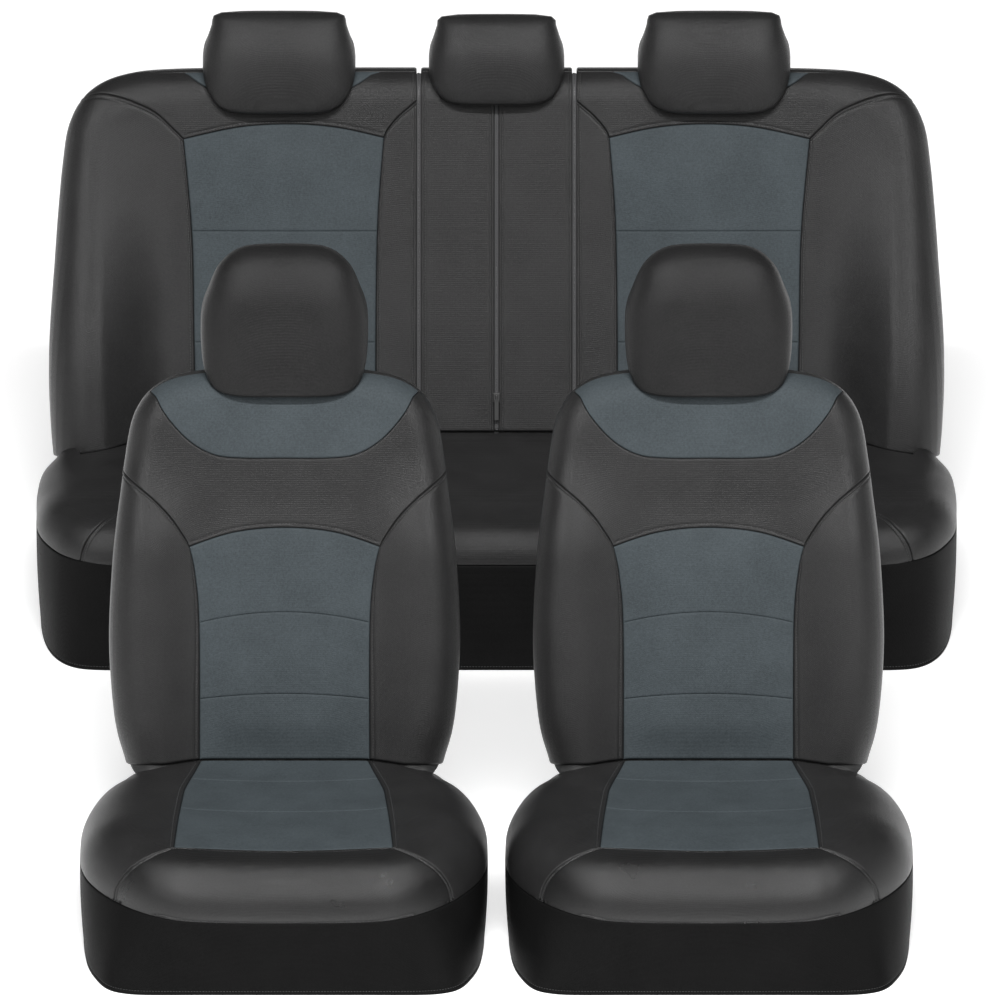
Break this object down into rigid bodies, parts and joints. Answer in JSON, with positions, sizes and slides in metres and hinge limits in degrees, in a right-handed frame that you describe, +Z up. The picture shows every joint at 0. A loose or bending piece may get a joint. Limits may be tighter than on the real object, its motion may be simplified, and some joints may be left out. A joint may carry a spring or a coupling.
{
  "type": "seat cover set",
  "caption": "Two-tone sewn seat cover set: front seat covers with headrest covers, and a zip-split bench cover with its own headrest covers.",
  "frame": {"origin": "centre of the set's bounding box on the surface that the skirts stand on", "axes": "+X to the right as seen from in front, +Y from the front seat covers back to the bench cover, +Z up"},
  "size_m": [1.392, 1.9494, 0.8809],
  "materials": {
    "black_fabric": "satin polyester knit over thin foam",
    "grey_fabric": "satin polyester knit over thin foam, slate grey",
    "webbing": "matt woven webbing and elastic",
    "buckle_plastic": "moulded black plastic on black webbing",
    "zip_nylon": "coil zipper with a painted slider"
  },
  "bodies": {
    "bench_cushion": {"bench_centre": "black_fabric", "bench_insert_left": "grey_fabric", "bench_insert_right": "grey_fabric", "bench_side_left": "black_fabric", "bench_side_right": "black_fabric", "bench_skirt": "black_fabric"},
    "front_left_cushion": {"front_left_seat_insert": "grey_fabric", "front_left_seat_bolster_left": "black_fabric", "front_left_seat_bolster_right": "black_fabric", "front_left_seat_nose": "black_fabric", "front_left_seat_skirt": "black_fabric", "front_left_tuck_flap": "webbing"},
    "front_left_back": {"front_left_back_insert": "grey_fabric", "front_left_back_bolster_left": "black_fabric", "front_left_back_bolster_right": "black_fabric", "front_left_back_chest": "black_fabric", "front_left_back_yoke": "grey_fabric", "front_left_back_panel": "black_fabric", "front_left_back_strap_socket": "buckle_plastic"},
    "front_left_clip": {"front_left_back_strap_clip": "buckle_plastic"},
    "front_left_headrest": {"front_left_headrest_cover": "black_fabric"},
    "front_right_cushion": {"front_right_seat_insert": "grey_fabric", "front_right_seat_bolster_left": "black_fabric", "front_right_seat_bolster_right": "black_fabric", "front_right_seat_nose": "black_fabric", "front_right_seat_skirt": "black_fabric", "front_right_tuck_flap": "webbing"},
    "front_right_back": {"front_right_back_insert": "grey_fabric", "front_right_back_bolster_left": "black_fabric", "front_right_back_bolster_right": "black_fabric", "front_right_back_chest": "black_fabric", "front_right_back_yoke": "grey_fabric", "front_right_back_panel": "black_fabric", "front_right_back_strap_socket": "buckle_plastic"},
    "front_right_clip": {"front_right_back_strap_clip": "buckle_plastic"},
    "front_right_headrest": {"front_right_headrest_cover": "black_fabric"},
    "rear_left_back": {"rear_left_back_insert": "grey_fabric", "rear_left_back_inner_bolster": "black_fabric", "rear_left_back_outer_bolster": "black_fabric", "rear_left_back_shoulder": "black_fabric", "rear_left_back_yoke": "grey_fabric", "rear_left_back_panel": "black_fabric"},
    "rear_left_headrest": {"rear_left_headrest_cover": "black_fabric"},
    "rear_left_slider": {"rear_zip_left_slider": "zip_nylon"},
    "rear_centre_back": {"rear_centre_back_left": "black_fabric", "rear_centre_back_right": "black_fabric", "rear_centre_back_panel": "black_fabric", "rear_zip_left_chain": "zip_nylon", "rear_zip_centre_chain": "zip_nylon", "rear_zip_right_chain": "zip_nylon"},
    "rear_centre_headrest": {"rear_centre_headrest_cover": "black_fabric"},
    "rear_centre_slider": {"rear_zip_centre_slider": "zip_nylon"},
    "rear_right_back": {"rear_right_back_insert": "grey_fabric", "rear_right_back_inner_bolster": "black_fabric", "rear_right_back_outer_bolster": "black_fabric", "rear_right_back_shoulder": "black_fabric", "rear_right_back_yoke": "grey_fabric", "rear_right_back_panel": "black_fabric"},
    "rear_right_headrest": {"rear_right_headrest_cover": "black_fabric"},
    "rear_right_slider": {"rear_zip_right_slider": "zip_nylon"}
  },
  "joints": [
    {"name": "front_left_fore_aft", "type": "slide", "parent": "bench_cushion", "child": "front_left_cushion", "axis": [0, 1, 0], "range_m": [-0.1, 0.1]},
    {"name": "front_left_recline", "type": "hinge", "parent": "front_left_cushion", "child": "front_left_back", "pos_m": [-0.317, -0.4947, 0.165], "axis": [1, 0, 0], "range_deg": [-25, 15]},
    {"name": "front_left_buckle", "type": "slide", "parent": "front_left_back", "child": "front_left_clip", "axis": [1, 0, 0], "range_m": [0, 0.05]},
    {"name": "front_left_headrest_lift", "type": "slide", "parent": "front_left_back", "child": "front_left_headrest", "axis": [0, 0.342, 0.9397], "range_m": [0, 0.25]},
    {"name": "front_right_fore_aft", "type": "slide", "parent": "bench_cushion", "child": "front_right_cushion", "axis": [0, 1, 0], "range_m": [-0.1, 0.1]},
    {"name": "front_right_recline", "type": "hinge", "parent": "front_right_cushion", "child": "front_right_back", "pos_m": [0.317, -0.4947, 0.165], "axis": [1, 0, 0], "range_deg": [-25, 15]},
    {"name": "front_right_buckle", "type": "slide", "parent": "front_right_back", "child": "front_right_clip", "axis": [1, 0, 0], "range_m": [0, 0.05]},
    {"name": "front_right_headrest_lift", "type": "slide", "parent": "front_right_back", "child": "front_right_headrest", "axis": [0, 0.342, 0.9397], "range_m": [0, 0.25]},
    {"name": "rear_left_fold", "type": "hinge", "parent": "bench_cushion", "child": "rear_left_back", "pos_m": [-0.39, 0.5873, 0.192], "axis": [-1, 0, 0], "range_deg": [-95, 0]},
    {"name": "rear_left_headrest_lift", "type": "slide", "parent": "rear_left_back", "child": "rear_left_headrest", "axis": [0, 0.3746, 0.9272], "range_m": [0, 0.2]},
    {"name": "rear_left_zip", "type": "slide", "parent": "rear_centre_back", "child": "rear_left_slider", "axis": [0, 0.3746, 0.9272], "range_m": [0, 0.42]},
    {"name": "rear_centre_fold", "type": "hinge", "parent": "bench_cushion", "child": "rear_centre_back", "pos_m": [0, 0.5873, 0.192], "axis": [-1, 0, 0], "range_deg": [-95, 0]},
    {"name": "rear_centre_headrest_lift", "type": "slide", "parent": "rear_centre_back", "child": "rear_centre_headrest", "axis": [0, 0.3746, 0.9272], "range_m": [0, 0.2]},
    {"name": "rear_centre_zip", "type": "slide", "parent": "rear_centre_back", "child": "rear_centre_slider", "axis": [0, 0.3746, 0.9272], "range_m": [0, 0.42]},
    {"name": "rear_right_fold", "type": "hinge", "parent": "bench_cushion", "child": "rear_right_back", "pos_m": [0.39, 0.5873, 0.192], "axis": [-1, 0, 0], "range_deg": [-95, 0]},
    {"name": "rear_right_headrest_lift", "type": "slide", "parent": "rear_right_back", "child": "rear_right_headrest", "axis": [0, 0.3746, 0.9272], "range_m": [0, 0.2]},
    {"name": "rear_right_zip", "type": "slide", "parent": "rear_centre_back", "child": "rear_right_slider", "axis": [0, 0.3746, 0.9272], "range_m": [0, 0.42]}
  ]
}
